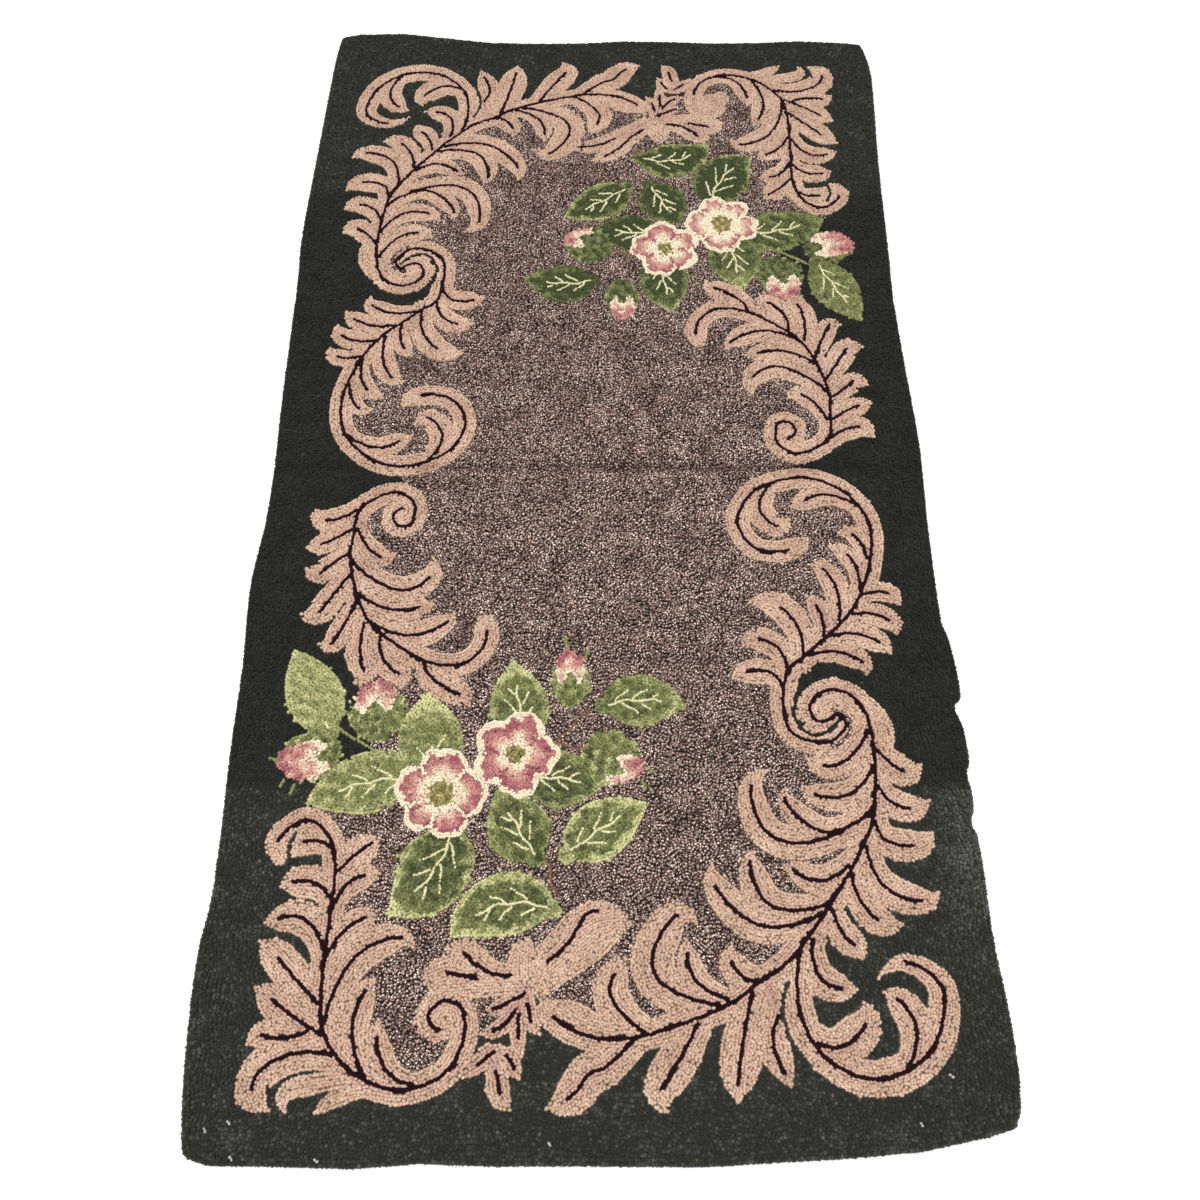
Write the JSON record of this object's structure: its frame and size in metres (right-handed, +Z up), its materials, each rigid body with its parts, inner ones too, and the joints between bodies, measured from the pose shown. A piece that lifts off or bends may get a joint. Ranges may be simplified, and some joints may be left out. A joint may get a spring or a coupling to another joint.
{
  "type": "hand-hooked wool rug",
  "caption": "Oblong hooked wool rug lying flat, with leaf scrolls and wild roses between a dark border and a heathered field.",
  "frame": {"origin": "middle of the rug's bounding box, on the floor under it", "axes": "+X across the rug, +Y along it from the near end to the far end, +Z up out of the pile"},
  "size_m": [0.8342, 1.5646, 0.0089],
  "materials": {
    "hooked_wool": "looped wool pile, matt, heathered mauve brown",
    "border_wool": "looped wool pile, matt, green black",
    "scroll_wool": "looped wool pile, matt, pink beige",
    "vein_wool": "looped wool pile, matt, dark burgundy",
    "leaf_wool": "looped wool pile, matt, mixed greens",
    "rose_wool": "looped wool pile, matt, rose, pale pink and cream",
    "burlap": "plain woven burlap, dry and matt"
  },
  "bodies": {
    "root": {"rug": "hooked_wool"}
  },
  "joints": []
}
